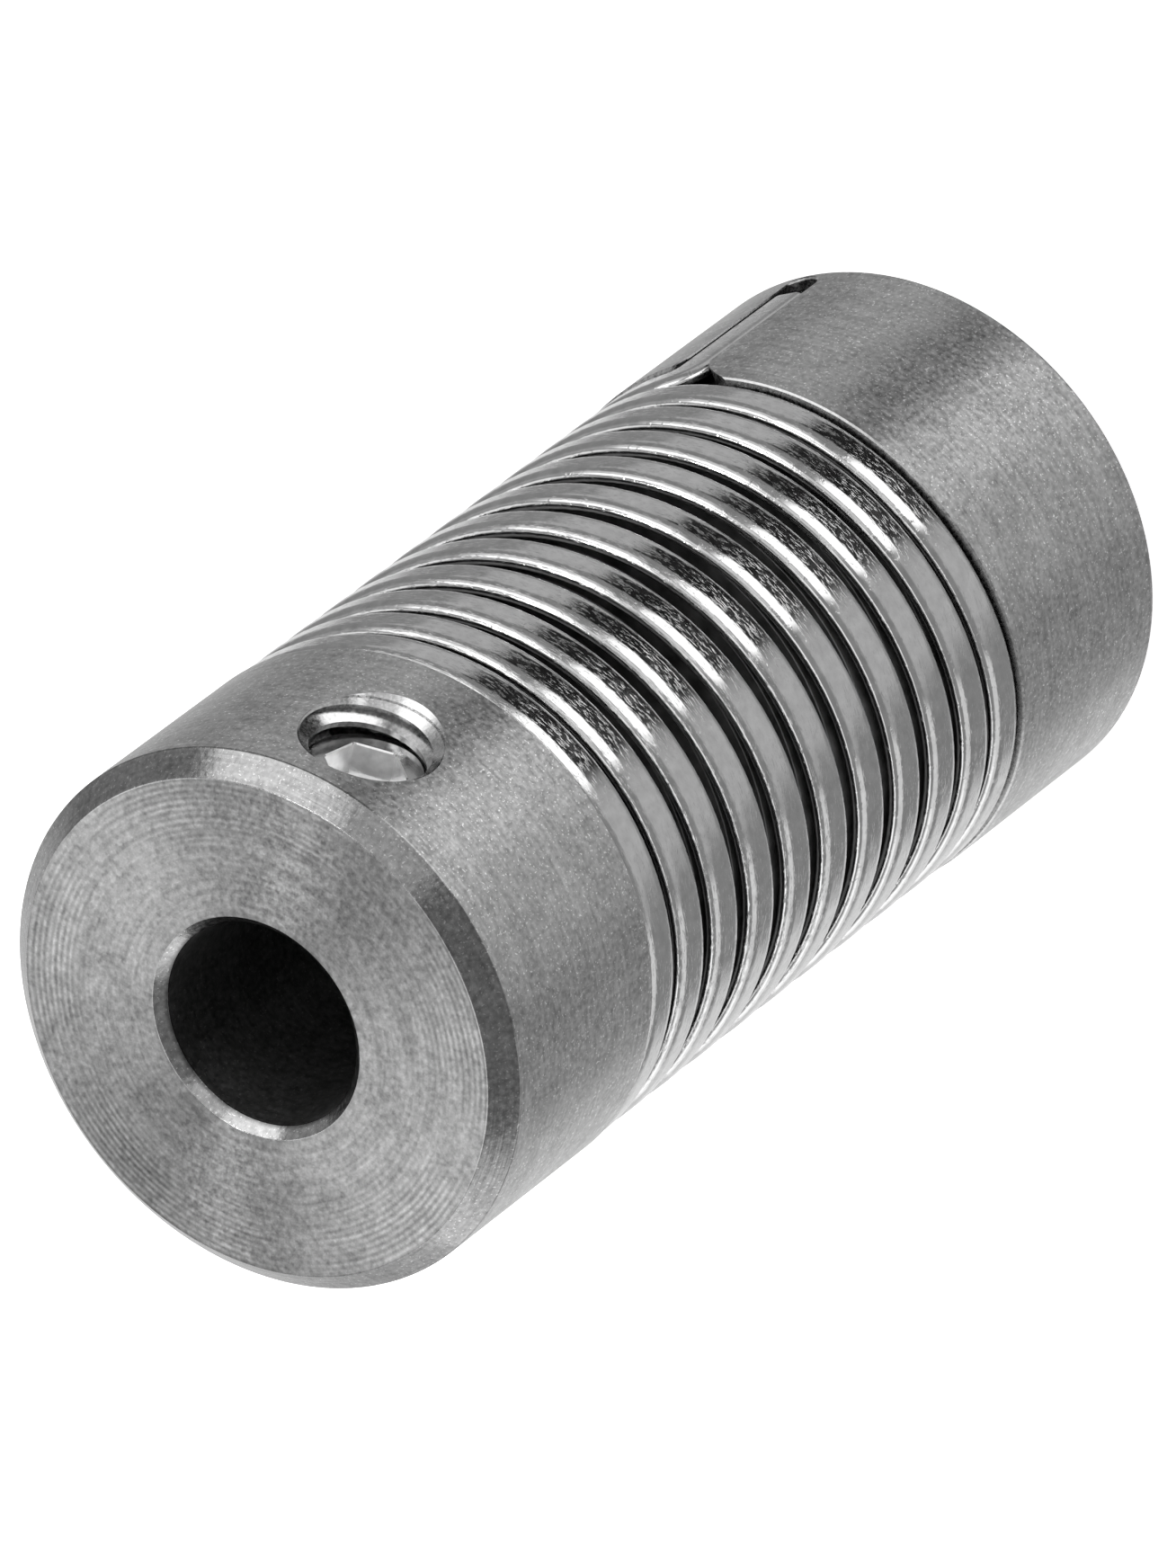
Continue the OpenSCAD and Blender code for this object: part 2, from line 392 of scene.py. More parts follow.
# Painted highlight: bright specks put into the colour as glinting, more on the outside than on the end face
painted_glints = spread(tree, noise(tree, coords["Object"], 15000.0, 0.0), 0.70, 0.78, 0.0, 0.4)
painted_sparkle = calc(tree, "MULTIPLY", painted_glints, spread(tree, facing, 0.6, 1.0, 1.0, 0.2))
mottle_and_glints = calc(tree, "ADD", painted_sparkle, spread(tree, mottle, 0.3, 0.7, 0.29, 0.63))

# Rings of the tool's feed on the end face, deeper towards its rim, that come and go in patches
feed = 0.00018
feed_turns = calc(tree, "MULTIPLY", radius, 2 * math.pi / feed)
feed_wave = calc(tree, "SINE", calc(tree, "MULTIPLY_ADD", clouds, 1.2, feed_turns))
feed_rim = spread(tree, radius, 0.0050, 0.0064, 0.03, 0.15)
feed_patch = spread(tree, noise(tree, coords["Object"], 200.0, 1.0), 0.4, 0.6, 0.2, 1.6)
feed_face = calc(tree, "MULTIPLY", spread(tree, facing, 0.95, 1.0, 0.0, 1.0), feed_patch)
feed_depth = calc(tree, "MULTIPLY", feed_face, feed_rim)
rings = calc(tree, "MULTIPLY_ADD", feed_wave, feed_depth, streaks)
tone = calc(tree, "MULTIPLY", rings, mottle_and_glints)

# Painted shade darkens the bore and the chamfers, which slant between outside and end face and are smoother
# Painted shade in the bore: the colour falls to 0.4 on the bore's wall
painted_bore_shade = spread(tree, radius, 0.00302, 0.00310, 0.4, 1.0)
slant = calc(tree, "MULTIPLY", facing, calc(tree, "SUBTRACT", 1.0, facing))
# Painted shade on the chamfers: the colour darkens with their slant, most on the outer chamfer
painted_chamfer_shade = calc(tree, "MULTIPLY", slant, spread(tree, radius, 0.0034, 0.0070, -1.0, -2.1))
shade = calc(tree, "MULTIPLY", painted_bore_shade, calc(tree, "ADD", painted_chamfer_shade, 1.0))
tree.links.new(calc(tree, "MULTIPLY", tone, shade), shader.inputs["Base Color"])
finish = calc(tree, "MULTIPLY_ADD", slant, -0.95, spread(tree, grain, 0.3, 0.7, 0.32, 0.42))
tree.links.new(finish, shader.inputs["Roughness"])
ring_depth = calc(tree, "MULTIPLY_ADD", facing, 1.5, 1.0)
ring_height = calc(tree, "MULTIPLY", marks, ring_depth)
groove_normal = bump(tree, ring_height, 0.0000035)
tree.links.new(bump(tree, grain, 0.000005, groove_normal), shader.inputs["Normal"])
tree.links.new(spread(tree, facing, 0.9, 1.0, 0.6, 0.85), shader.inputs["Anisotropic"])
shader.inputs["Anisotropic Rotation"].default_value = 0.25
round_axis = add_node(tree, "ShaderNodeTangent", direction_type="RADIAL", axis="Z")
tree.links.new(round_axis.outputs["Tangent"], shader.inputs["Tangent"])

# Tapped steel: the same bar where the tap and the countersink cut it, bright and smooth
tapped_steel, tree, shader, coords = new_steel("tapped_steel")
grain = noise(tree, coords["Object"], 9000.0, 3.0)
tree.links.new(spread(tree, grain, 0.3, 0.7, 0.42, 0.62), shader.inputs["Base Color"])
tree.links.new(spread(tree, grain, 0.3, 0.7, 0.14, 0.26), shader.inputs["Roughness"])
tree.links.new(bump(tree, grain, 0.000002), shader.inputs["Normal"])

# Milled steel: the slot and the shoulder, bright at the edges and black with painted shade below the wire
milled_steel, tree, shader, coords = new_steel("milled_steel")
grain = noise(tree, coords["Object"], 9000.0, 3.0)
depth = add_node(tree, "ShaderNodeGroup", {"Place": coords["Object"]}, node_tree=tool_marks).outputs["Radius"]
# Painted shade: the colour darkens with depth below the hub's surface, into the slot and the seat
painted_recess_shade = spread(tree, depth, 0.0074, 0.0078, 0.06, 1.0)
tone = spread(tree, grain, 0.3, 0.7, 0.32, 0.56)
tree.links.new(calc(tree, "MULTIPLY", tone, painted_recess_shade), shader.inputs["Base Color"])
tree.links.new(spread(tree, grain, 0.3, 0.7, 0.2, 0.36), shader.inputs["Roughness"])
tree.links.new(bump(tree, grain, 0.000002), shader.inputs["Normal"])


def cut_piece(name, blank, cuts):
    """Cuts meshes out of a blank, each with the material of its cut faces, and returns the plain mesh."""
    work = bpy.data.objects.new(name + "_blank", blank)
    scene.collection.objects.link(work)
    cutters = []
    for cut, steel in cuts:
        cut.materials.append(steel)
        cutter = bpy.data.objects.new(cut.name, cut)
        scene.collection.objects.link(cutter)
        cutters.append(cutter)
        step = work.modifiers.new(cut.name, "BOOLEAN")
        step.operation = "DIFFERENCE"
        step.solver = "EXACT"
        step.material_mode = "TRANSFER"
        step.object = cutter
    bpy.context.view_layer.update()
    mesh = bpy.data.meshes.new_from_object(work.evaluated_get(bpy.context.evaluated_depsgraph_get()))
    for spare in cutters + [work]:
        bpy.data.objects.remove(spare)
    mesh.name = name
    return mesh


sharp_angle = math.radians(28)


def true_round_normals(mesh):
    """Gives the turned faces, in slot 0, the normals of a true surface of revolution round Z."""
    mesh.shade_smooth()
    mesh.set_sharp_from_angle(angle=sharp_angle)
    normals = [corner.vector.copy() for corner in mesh.corner_normals]
    for face in mesh.polygons:
        if face.material_index:
            continue
        level = math.hypot(face.normal.x, face.normal.y)
        if face.normal.x * face.center.x + face.normal.y * face.center.y < 0:
            level = -level
        for corner in face.loop_indices:
            at = mesh.vertices[mesh.loops[corner].vertex_index].co
            r = math.hypot(at.x, at.y)
            normals[corner] = Vector((level * at.x / r, level * at.y / r, face.normal.z)).normalized()
    mesh.normals_split_custom_set(normals)


hub_blank.materials.append(turned_steel)
hub_mesh = cut_piece("hub", hub_blank, [
    (hole_cut, tapped_steel),
    (seat_cut, milled_steel),
    (slot_cut, milled_steel),
])
for hub_name, hub_place in (("front_hub", at_front), ("rear_hub", at_rear)):
    mesh = hub_mesh.copy()
    mesh.name = hub_name + "_steel"
    mesh.transform(to_metres @ hub_place)
    true_round_normals(mesh)
    hub = bpy.data.objects.new(hub_name + "_steel", mesh)
    scene.collection.objects.link(hub)
    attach(hub, "root")
    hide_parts(hub_name)


# Tapped threads
# The wall of each screw hole carries a right-hand metric thread, cut by a tap in the hub's own steel.
# Only the turns between the sunk screw and the mouth are open to view, so only these are made.
# The countersink cuts their tops, and they end at the hub's surface.
thread_pitch = 0.7
thread_zero = 6.905
thread_low = 6.5
thread_high = 8.2
thread_core_r = 1.65
thread_root = 0.62
thread_crest = 0.16
thread_overlap = 0.05
thread_sides = 72
clear_x = 6.0
clear_r = 1.5
skin_sink = 0.01
skin_out = 2.0
skin_half = 4.0

thread_tree = bpy.data.node_groups.new("tapped_thread", "GeometryNodeTree")
thread_tree.is_modifier = True
thread_tree.interface.new_socket("Geometry", in_out="INPUT", socket_type="NodeSocketGeometry")
root_input = thread_tree.interface.new_socket("Root Width", in_out="INPUT", socket_type="NodeSocketFloat")
crest_input = thread_tree.interface.new_socket("Crest Width", in_out="INPUT", socket_type="NodeSocketFloat")
depth_input = thread_tree.interface.new_socket("Depth", in_out="INPUT", socket_type="NodeSocketFloat")
steel_input = thread_tree.interface.new_socket("Steel", in_out="INPUT", socket_type="NodeSocketMaterial")
thread_tree.interface.new_socket("Geometry", in_out="OUTPUT", socket_type="NodeSocketGeometry")
thread_in = thread_tree.nodes.new("NodeGroupInput").outputs


def facing_curve(tree, line):
    """Turns a line of points into a curve whose sections face along its stored outward directions."""
    curve = add_node(tree, "GeometryNodeMeshToCurve", {"Mesh": line}).outputs["Curve"]
    outward = add_node(tree, "GeometryNodeInputNamedAttribute", {"Name": "outward"}, data_type="FLOAT_VECTOR")
    return add_node(tree, "GeometryNodeSetCurveNormal", {
        "Curve": curve,
        "Normal": outward.outputs["Attribute"],
    }, mode="FREE").outputs["Curve"]


helix = facing_curve(thread_tree, thread_in["Geometry"])
ridge = add_node(thread_tree, "GeometryNodeCurvePrimitiveQuadrilateral", {
    "Bottom Width": thread_in["Root Width"],
    "Top Width": thread_in["Crest Width"],
    "Height": thread_in["Depth"],
    "Offset": 0.0,
}, mode="TRAPEZOID").outputs["Curve"]
ridge = add_node(thread_tree, "GeometryNodeTransform", {
    "Geometry": ridge,
    "Rotation": (0, 0, math.radians(90)),
}).outputs["Geometry"]
ridge = add_node(thread_tree, "GeometryNodeCurveToMesh", {
    "Curve": helix,
    "Profile Curve": ridge,
    "Fill Caps": True,
}).outputs["Mesh"]
ridge = add_node(thread_tree, "GeometryNodeRealizeInstances", {"Geometry": ridge}).outputs["Geometry"]
ridge = add_node(thread_tree, "GeometryNodeSetMaterial", {
    "Geometry": ridge,
    "Material": thread_in["Steel"],
}).outputs["Geometry"]
thread_out = thread_tree.nodes.new("NodeGroupOutput")
thread_tree.links.new(ridge, thread_out.inputs["Geometry"])


def path_object(name, points, outwards):
    """A line of points, each with the direction in which the swept section faces outwards."""
    mesh = bpy.data.meshes.new(name)
    mesh.from_pydata(points, [(k, k + 1) for k in range(len(points) - 1)], [])
    attribute = mesh.attributes.new("outward", "FLOAT_VECTOR", "POINT")
    attribute.data.foreach_set("vector", [c for v in outwards for c in v])
    path = bpy.data.objects.new(name, mesh)
    scene.collection.objects.link(path)
    return path


def swept_mesh(name, path, tree, values):
    """Runs a sweep tree on a path and returns its result as a plain mesh."""
    sweep = path.modifiers.new("sweep", "NODES")
    sweep.node_group = tree
    for socket, value in values:
        sweep[socket.identifier] = value
    bpy.context.view_layer.update()
    mesh = bpy.data.meshes.new_from_object(path.evaluated_get(bpy.context.evaluated_depsgraph_get()))
    mesh.name = name
    bpy.data.objects.remove(path)
    return mesh


thread_depth = hole_r + thread_overlap - thread_core_r
thread_mid_r = thread_core_r + thread_depth / 2
thread_steps = int((thread_high - thread_low) / thread_pitch * thread_sides)
thread_points = []
thread_outwards = []
for k in range(thread_steps + 1):
    x = thread_low + (thread_high - thread_low) * k / thread_steps
    a = 2 * math.pi * (x - thread_zero) / thread_pitch
    out = Vector((0, math.cos(a), math.sin(a)))
    thread_points.append(Vector((x, 0, 0)) + out * thread_mid_r)
    thread_outwards.append(out)
thread_line = path_object("thread_helix", thread_points, thread_outwards)
thread_blank = swept_mesh("thread_blank", thread_line, thread_tree, [
    (root_input, thread_root),
    (crest_input, thread_crest),
    (depth_input, thread_depth),
    (steel_input, tapped_steel),
])
mouth_cut = drill("mouth_cut", [(clear_x, clear_r), (sink_x - hole_r + clear_r, clear_r), sink_end])
skin_outline = [
    (outer_r - skin_sink, -skin_half),
    (outer_r + skin_out, -skin_half),
    (outer_r + skin_out, skin_half),
    (outer_r - skin_sink, skin_half),
]
skin_cut = turned_mesh("skin_cut", skin_outline, hub_sides)
thread_mesh = cut_piece("thread", thread_blank, [(mouth_cut, tapped_steel), (skin_cut, tapped_steel)])
for hub_name, hub_place in (("front_hub", at_front), ("rear_hub", at_rear)):
    mesh = thread_mesh.copy()
    mesh.name = hub_name + "_thread"
    mesh.transform(to_metres @ hub_place @ to_screw)
    mesh.shade_smooth()
    mesh.set_sharp_from_angle(angle=sharp_angle)
    thread = bpy.data.objects.new(hub_name + "_thread", mesh)
    scene.collection.objects.link(thread)
    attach(thread, "root")


# Springs
# Three layers of flat rolled spring-steel wire lie over one another, wound right, left and right.
# The outer wire has polished faces and round edges, and its ends are bent into axial legs that are
# brazed into the slots of the hubs. The two inner wires have ground ends that stand on the hubs' ledges.
wire_w = 1.28
wire_t = 0.5
outer_mid_r = 7.70
middle_mid_r = 7.15
inner_mid_r = 6.60
inner_turns = 10
inner_low = collar_top + seat_gap
leg_end = 1.9
leg_tip = 0.05
first_z = collar_len + seat_gap + wire_w / 2
mid_swell = (length - 2 * first_z - end_lead * wire_turns) * math.pi / (2 * wire_turns)
settle_turns = 3
bend_in_r = 0.15
bend_r = bend_in_r + wire_w / 2
bend_steps = 17
coil_sides = 96
outer_round = 2 * math.pi * outer_mid_r


def settle(t):
    """The close end turns rise and rest as the helical shoulder does."""
    return end_lead * (lay(t) - t) * max(0.0, min(1.0, 1 - (t - 1) / settle_turns))


def wire_z(t):
    """Height of the middle of the outer wire after t turns: the gaps open towards the middle of the coil."""
    swell = mid_swell * wire_turns / math.pi * (1 - math.cos(math.pi * t / wire_turns))
    return first_z + end_lead * t + swell + settle(t) - settle(wire_turns - t)


def wrapped(path, mid_r, slot):
    """Wraps a flat path of (distance round, height) round the axis, as points and outward directions."""
    points = []
    outwards = []
    for s, z in path:
        a = slot + s / mid_r
        out = Vector((math.cos(a), math.sin(a), 0))
        points.append((out * mid_r + Vector((0, 0, z))) * 0.001)
        outwards.append(out)
    return points, outwards


bend_t = bend_r / outer_round
bend_top = wire_z(bend_t)
leg_path = [(0, leg_end), (0, leg_end + leg_tip), (0, (leg_end + bend_top - bend_r) / 2)]
for k in range(bend_steps):
    a = math.radians(90 - 90 * k / bend_steps)
    leg_path.append((bend_r * (1 - math.sin(a)), bend_top - bend_r * (1 - math.cos(a))))
coil_steps = int(coil_sides * wire_turns)
coil_path = []
for k in range(coil_steps + 1):
    t = bend_t + (wire_turns - 2 * bend_t) * k / coil_steps
    coil_path.append((t * outer_round, wire_z(t)))
far_leg = [(wire_turns * outer_round - s, length - z) for s, z in reversed(leg_path)]
outer_path = wrapped(leg_path + coil_path + far_leg, outer_mid_r, rear_slot)

wire_tree = bpy.data.node_groups.new("flat_wire", "GeometryNodeTree")
wire_tree.is_modifier = True
wire_tree.interface.new_socket("Geometry", in_out="INPUT", socket_type="NodeSocketGeometry")
wire_width = wire_tree.interface.new_socket("Width", in_out="INPUT", socket_type="NodeSocketFloat")
wire_thick = wire_tree.interface.new_socket("Thickness", in_out="INPUT", socket_type="NodeSocketFloat")
wire_edge = wire_tree.interface.new_socket("Edge Length", in_out="INPUT", socket_type="NodeSocketFloat")
wire_fall = wire_tree.interface.new_socket("Edge Depth", in_out="INPUT", socket_type="NodeSocketFloat")
wire_low = wire_tree.interface.new_socket("Ground Low", in_out="INPUT", socket_type="NodeSocketFloat")
wire_high = wire_tree.interface.new_socket("Ground High", in_out="INPUT", socket_type="NodeSocketFloat")
wire_steel = wire_tree.interface.new_socket("Steel", in_out="INPUT", socket_type="NodeSocketMaterial")
wire_tree.interface.new_socket("Geometry", in_out="OUTPUT", socket_type="NodeSocketGeometry")
wire_in = wire_tree.nodes.new("NodeGroupInput").outputs
coil = facing_curve(wire_tree, wire_in["Geometry"])
squeeze = calc(wire_tree, "DIVIDE", wire_in["Edge Depth"], wire_in["Edge Length"])
section = add_node(wire_tree, "GeometryNodeCurvePrimitiveQuadrilateral", {
    "Width": calc(wire_tree, "DIVIDE", wire_in["Thickness"], squeeze),
    "Height": wire_in["Width"],
}, mode="RECTANGLE").outputs["Curve"]
section = add_node(wire_tree, "GeometryNodeFilletCurve", {
    "Curve": section,
    "Radius": wire_in["Edge Length"],
    "Limit Radius": True,
    "Count": 8,
}, mode="POLY").outputs["Curve"]
section = add_node(wire_tree, "GeometryNodeTransform", {
    "Geometry": section,
    "Scale": add_node(wire_tree, "ShaderNodeCombineXYZ", {"X": squeeze, "Y": 1.0, "Z": 1.0}).outputs[0],
}).outputs["Geometry"]
wire = add_node(wire_tree, "GeometryNodeCurveToMesh", {
    "Curve": coil,
    "Profile Curve": section,
    "Fill Caps": True,
}).outputs["Mesh"]
spot = add_node(wire_tree, "ShaderNodeSeparateXYZ", {
    0: wire_tree.nodes.new("GeometryNodeInputPosition").outputs["Position"],
}).outputs
above_low = calc(wire_tree, "MAXIMUM", spot["Z"], wire_in["Ground Low"])
ground_spot = add_node(wire_tree, "ShaderNodeCombineXYZ", {
    "X": spot["X"],
    "Y": spot["Y"],
    "Z": calc(wire_tree, "MINIMUM", above_low, wire_in["Ground High"]),
}).outputs[0]
wire = add_node(wire_tree, "GeometryNodeSetPosition", {
    "Geometry": wire,
    "Position": ground_spot,
}).outputs["Geometry"]
wire = add_node(wire_tree, "GeometryNodeRealizeInstances", {"Geometry": wire}).outputs["Geometry"]
wire = add_node(wire_tree, "GeometryNodeSetMaterial", {
    "Geometry": wire,
    "Material": wire_in["Steel"],
}).outputs["Geometry"]
wire_out = wire_tree.nodes.new("NodeGroupOutput")
wire_tree.links.new(wire, wire_out.inputs["Geometry"])

# Polished wire: bright rolled faces, with smears and with scratches that run along the wire
polished_wire, tree, shader, coords = new_steel("polished_wire")
scratches = add_node(tree, "ShaderNodeGroup", {"Place": coords["Object"]}, node_tree=tool_marks)
scratches.inputs["Grooves per mm"].default_value = 12.0
scratches.inputs["Breaks per mm"].default_value = 4.0
smears = noise(tree, coords["Object"], 2600.0, 3.0)
tree.links.new(spread(tree, smears, 0.3, 0.7, 0.52, 0.62), shader.inputs["Base Color"])
tree.links.new(spread(tree, smears, 0.3, 0.7, 0.08, 0.16), shader.inputs["Roughness"])
scratch_depth = spread(tree, scratches.outputs["Marks"], 0.54, 0.72, 0.0, 1.0)
tree.links.new(bump(tree, scratch_depth, 0.000004), shader.inputs["Normal"])

# Inner wire: unpolished, and painted dark as the shade that lies between the layers
inner_wire_painted_shade, tree, shader, coords = new_steel("inner_wire_painted_shade")
smears = noise(tree, coords["Object"], 1500.0, 4.0)
# Painted shade: a dark colour for wire that is seen only through the gaps between coils
tree.links.new(spread(tree, smears, 0.3, 0.7, 0.16, 0.28), shader.inputs["Base Color"])
tree.links.new(spread(tree, smears, 0.3, 0.7, 0.5, 0.65), shader.inputs["Roughness"])


def true_wire_normals(mesh, mid_r, edge_len, edge_fall):
    """Gives a wire in metres the normals of flats that follow the coil and of elliptical edges."""
    mesh.shade_smooth()
    nose = wire_t * 0.0005 - edge_fall
    normals = []
    for face in mesh.polygons:
        for corner in face.loop_indices:
            vertex = mesh.vertices[mesh.loops[corner].vertex_index]
            if len(face.vertices) > 4:
                normals.append(face.normal.copy())
                continue
            out = Vector((vertex.co.x, vertex.co.y, 0)).normalized()
            high = math.hypot(vertex.co.x, vertex.co.y) - mid_r
            lean = max(0.0, min(1.0, (abs(high) - nose) / edge_fall))
            side = vertex.normal - out * vertex.normal.dot(out)
            side.normalize()
            up = out * math.copysign(lean / edge_fall, high)
            normals.append((up + side * math.sqrt(1 - lean * lean) / edge_len).normalized())
    mesh.normals_split_custom_set(normals)


def wind_spring(name, node, path, mid_r, edge_len, edge_fall, low, high, steel):
    """Sweeps one wire along its path and puts it in the place of its CAD node."""
    mesh = swept_mesh(name, path_object(node + "_path", *path), wire_tree, [
        (wire_width, wire_w * 0.001),
        (wire_thick, wire_t * 0.001),
        (wire_edge, edge_len * 0.001),
        (wire_fall, edge_fall * 0.001),
        (wire_low, low * 0.001),
        (wire_high, high * 0.001),
        (wire_steel, steel),
    ])
    true_wire_normals(mesh, mid_r * 0.001, edge_len * 0.001, edge_fall * 0.001)
    wire = bpy.data.objects.new(name, mesh)
    scene.collection.objects.link(wire)
    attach(wire, "root")
    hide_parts(node)


outer_edge = (0.40, 0.24)
wind_spring("outer_wire", "outer_spring", outer_path, outer_mid_r, *outer_edge, 0, length, polished_wire)

inner_edge = (0.04, 0.04)
inner_tip = 0.3
inner_sides = 72
for layer, mid_r, hand in (("middle", middle_mid_r, -1), ("inner", inner_mid_r, 1)):
    start_z = inner_low + inner_tip - wire_w / 2
    steps = inner_sides * inner_turns
    around = 2 * math.pi * mid_r * inner_turns * hand
    line = [(around * k / steps, start_z + (length - 2 * start_z) * k / steps) for k in range(steps + 1)]
    inner_path = wrapped(line, mid_r, 0)
    wind_spring(
        layer + "_wire",
        layer + "_spring",
        inner_path,
        mid_r,
        *inner_edge,
        inner_low,
        length - inner_low,
        inner_wire_painted_shade,
    )


# Set screws
# Each hub has a short headless screw with a rolled thread, a broached hexagon socket and a cup point.
# It is screwed in below the surface and clamps the shaft. Bright steel, one shape for both.
screw_len = 3.0
tip_back = 0.9
screw_start = bore_r + tip_back
crest_r = 1.95
root_r = 1.58
crest_share = 0.18
flank_share = 0.62
point_r = 1.6
point_edge = 0.05
end_r = 1.35
cup_r = 1.1
cup_depth = 0.635
hex_flat = 1.0
hex_depth = 0.9
hex_edge = 0.04
pilot_r = 0.95
pilot_cone = 0.35
axis_r = 0.02
hex_turn = math.radians(12)
screw_sides = 120
screw_steps = 120
screw_sharp_angle = math.radians(32)


def screw_ring(x, radius_at):
    """A ring of points round the screw's axis, at distance x from its point."""
    ring = []
    for k in range(screw_sides):
        a = 2 * math.pi * k / screw_sides
        r = radius_at(a)
        ring.append((screw_start + x, r * math.cos(a), r * math.sin(a)))
    return ring


def thread_radius(x, a):
    """Radius of the thread at x and angle a: flat crests and roots, with chamfered ends."""
    phase = ((screw_start + x - thread_zero) / thread_pitch - a / (2 * math.pi)) % 1.0
    rise = max(0.0, min(1.0, (abs(phase - 0.5) * 2 - crest_share) / flank_share))
    r = crest_r - (crest_r - root_r) * rise
    return min(r, point_r + min(x, screw_len - x))


def hex_radius(a, flat):
    """Radius of the hexagon socket at angle a, from half its width across flats."""
    return flat / math.cos((a + hex_turn + math.pi / 6) % (math.pi / 3) - math.pi / 6)


screw_rings = [
    screw_ring(cup_depth, lambda a: axis_r),
    screw_ring(0.0, lambda a: cup_r),
    screw_ring(0.0, lambda a: point_r - point_edge),
]
for k in range(screw_steps + 1):
    x = screw_len * k / screw_steps
    screw_rings.append(screw_ring(x, lambda a, x=x: thread_radius(x, a)))
screw_rings.append(screw_ring(screw_len, lambda a: end_r))
screw_rings.append(screw_ring(screw_len, lambda a: hex_radius(a, hex_flat + hex_edge)))
screw_rings.append(screw_ring(screw_len - hex_edge, lambda a: hex_radius(a, hex_flat)))
screw_rings.append(screw_ring(screw_len - hex_depth, lambda a: hex_radius(a, hex_flat)))
screw_rings.append(screw_ring(screw_len - hex_depth, lambda a: pilot_r))
screw_rings.append(screw_ring(screw_len - hex_depth - pilot_cone, lambda a: axis_r))
screw_mesh = lofted_mesh("set_screw", screw_rings)

# Bright steel: smooth rolled and broached faces with a few dull smears
bright_steel, tree, shader, coords = new_steel("bright_steel")
smears = noise(tree, coords["Object"], 2200.0, 4.0)
tree.links.new(spread(tree, smears, 0.3, 0.7, 0.34, 0.52), shader.inputs["Base Color"])
tree.links.new(spread(tree, smears, 0.3, 0.7, 0.08, 0.2), shader.inputs["Roughness"])
tree.links.new(bump(tree, smears, 0.000002), shader.inputs["Normal"])

# Socket steel: the walls and the floor of the socket, dull from the broach and painted bright as scattered
# light
socket_steel_painted_light, tree, shader, coords = new_steel("socket_steel_painted_light")
smears = noise(tree, coords["Object"], 4000.0, 3.0)
# Painted light: a colour far brighter than the rest of the steel stands in for light scattered into the
# socket
tree.links.new(spread(tree, smears, 0.3, 0.7, 0.78, 0.95), shader.inputs["Base Color"])
shader.inputs["Roughness"].default_value = 0.28

screw_mesh.materials.append(bright_steel)
screw_mesh.materials.append(socket_steel_painted_light)
socket_x = screw_start + screw_len - hex_depth - pilot_cone - point_edge
socket_r = hex_flat / math.cos(math.pi / 6)
for face in screw_mesh.polygons:
    if face.center.x > socket_x and math.hypot(face.center.y, face.center.z) < socket_r:
        face.material_index = 1
for screw_name, hub_place in (("front_set_screw", at_front), ("rear_set_screw", at_rear)):
    mesh = screw_mesh.copy()
    mesh.name = screw_name + "_steel"
    mesh.transform(to_metres @ hub_place @ to_screw)
    mesh.shade_smooth()
    mesh.set_sharp_from_angle(angle=screw_sharp_angle)
    screw = bpy.data.objects.new(screw_name + "_steel", mesh)
    scene.collection.objects.link(screw)
    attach(screw, "root")
    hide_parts(screw_name)


# Floor
# A plain white table that glows a little, as the light table of a product photographer does.
# The steel mirrors the studio's panels and not the table.
floor_mesh = bpy.data.meshes.new("floor")
floor_half = 3.0
floor_z = -0.00002
floor_corners = [(-1, -1), (1, -1), (1, 1), (-1, 1)]
floor_points = [(x * floor_half, y * floor_half, floor_z) for x, y in floor_corners]
floor_mesh.from_pydata(floor_points, [], [(0, 1, 2, 3)])
floor_paint = bpy.data.materials.new("floor_paint")
floor_paint.use_nodes = True
shader = floor_paint.node_tree.nodes["Principled BSDF"]
shader.inputs["Base Color"].default_value = (0.9, 0.9, 0.9, 1)
shader.inputs["Roughness"].default_value = 0.9
shader.inputs["Specular IOR Level"].default_value = 0.0
shader.inputs["Emission Color"].default_value = (1, 1, 1, 1)
shader.inputs["Emission Strength"].default_value = 0.8
floor_mesh.materials.append(floor_paint)
floor = bpy.data.objects.new("floor", floor_mesh)
floor.visible_glossy = False
floor.visible_shadow = False
scene.collection.objects.link(floor)


# Studio light
# Soft white panels stand all round the table, with dark gaps between them that draw bands on the steel.
# A row holds a name, then bearing round Z, half width, height above the horizon, half height and soft
# edge in degrees, and at last the brightness, which is below zero where a dark card takes light away.
studio_panels = [
    ("white sweep behind", 161, 52, -44, 50, 12, 0.56),
    ("left wall", 82, 22, 12, 12, 10, 0.16),
    ("left strip", 47, 19, -52, 20, 3, 0.27),
    ("dark gap", 11, 17, -57, 20, 4, -0.33),
    ("dark foot of the window", -19, 15, -63, 19, 4, -0.30),
    ("right panel", -61, 22, -36, 34, 10, 0.29),
    ("right bounce", -125, 37, -2, 18, 4, 0.66),
    ("right lamp", -152, 26, 11, 13, 6, 0.70),
    ("window light", -19, 17, -11, 31, 3, 1.80),
    ("top light", 36, 25, 29, 11, 5, 2.00),
    ("foot of the top light", 36, 24, 8, 12, 5, 0.60),
    ("tail of the top light", -9, 20, 40, 14, 8, 0.70),
    ("high lamp", 58, 6, 64.6, 3, 2, 36.0),
    ("high strip", 30, 13, 56, 8, 5, 3.4),
    ("high panel behind", -165, 32, 62, 20, 6, 1.48),
    ("high panel right", -75, 60, 70, 12, 6, 1.10),
    ("front fill", 116, 14, 42, 10, 5, 2.30),
    ("left fill", 86, 13, 42, 10, 5, 1.00),
]
studio_ambient = 0.34
studio_least = 0.02

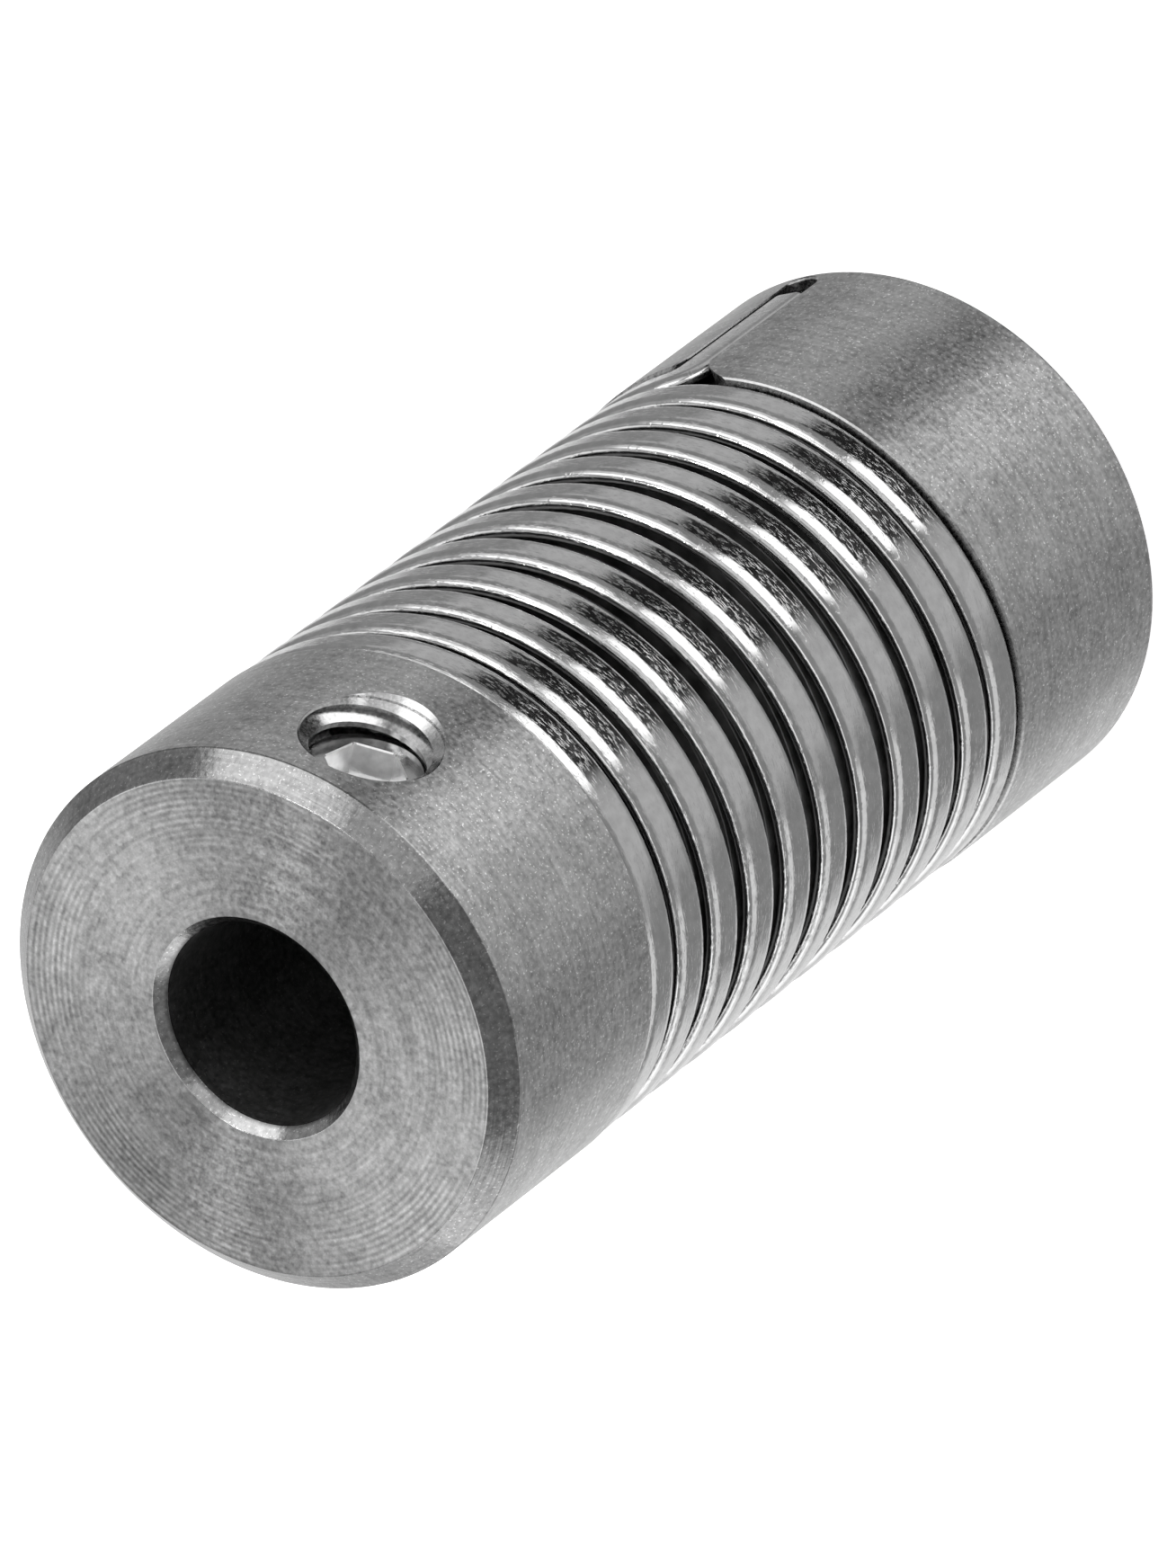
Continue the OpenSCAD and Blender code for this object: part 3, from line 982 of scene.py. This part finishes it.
softbox = bpy.data.node_groups.new("softbox", "ShaderNodeTree")
softbox.interface.new_socket("Direction", in_out="INPUT", socket_type="NodeSocketVector")
for panel_input in ("Bearing", "Half Width", "Height", "Half Height", "Soft Edge", "Brightness"):
    softbox.interface.new_socket(panel_input, in_out="INPUT", socket_type="NodeSocketFloat")
softbox.interface.new_socket("Light", in_out="OUTPUT", socket_type="NodeSocketFloat")
box_in = softbox.nodes.new("NodeGroupInput").outputs
ray = add_node(softbox, "ShaderNodeSeparateXYZ", {0: box_in["Direction"]}).outputs
bearing = calc(softbox, "DEGREES", calc(softbox, "ARCTAN2", ray["Y"], ray["X"]))
turn = calc(softbox, "WRAP", calc(softbox, "SUBTRACT", bearing, box_in["Bearing"]), 180.0, -180.0)
height = calc(softbox, "DEGREES", calc(softbox, "ARCSINE", ray["Z"]))
lift = calc(softbox, "SUBTRACT", height, box_in["Height"])
shares = []
for offset, half in ((turn, "Half Width"), (lift, "Half Height")):
    beyond = calc(softbox, "SUBTRACT", calc(softbox, "ABSOLUTE", offset), box_in[half])
    share = add_node(softbox, "ShaderNodeMapRange", {
        "Value": calc(softbox, "DIVIDE", beyond, box_in["Soft Edge"]),
        "From Min": 1.0,
        "From Max": -1.0,
    }, interpolation_type="SMOOTHSTEP")
    shares.append(share.outputs["Result"])
lit = calc(softbox, "MULTIPLY", calc(softbox, "MULTIPLY", shares[0], shares[1]), box_in["Brightness"])
box_out = softbox.nodes.new("NodeGroupOutput")
softbox.links.new(lit, box_out.inputs["Light"])

studio = bpy.data.worlds.new("studio")
studio.use_nodes = True
scene.world = studio
sky = studio.node_tree
background = sky.nodes["Background"]
background.inputs["Color"].default_value = (1, 1, 1, 1)
direction = sky.nodes.new("ShaderNodeTexCoord").outputs["Generated"]
total = studio_ambient
for panel_name, bearing_deg, half_width, height_deg, half_height, soft_edge, brightness in studio_panels:
    panel = add_node(sky, "ShaderNodeGroup", {"Direction": direction}, node_tree=softbox, label=panel_name)
    panel.inputs["Bearing"].default_value = bearing_deg
    panel.inputs["Half Width"].default_value = half_width
    panel.inputs["Height"].default_value = height_deg
    panel.inputs["Half Height"].default_value = half_height
    panel.inputs["Soft Edge"].default_value = soft_edge
    panel.inputs["Brightness"].default_value = brightness
    total = calc(sky, "ADD", total, panel.outputs["Light"])
sky.links.new(calc(sky, "MAXIMUM", total, studio_least), background.inputs["Strength"])

scene.view_settings.view_transform = "Standard"
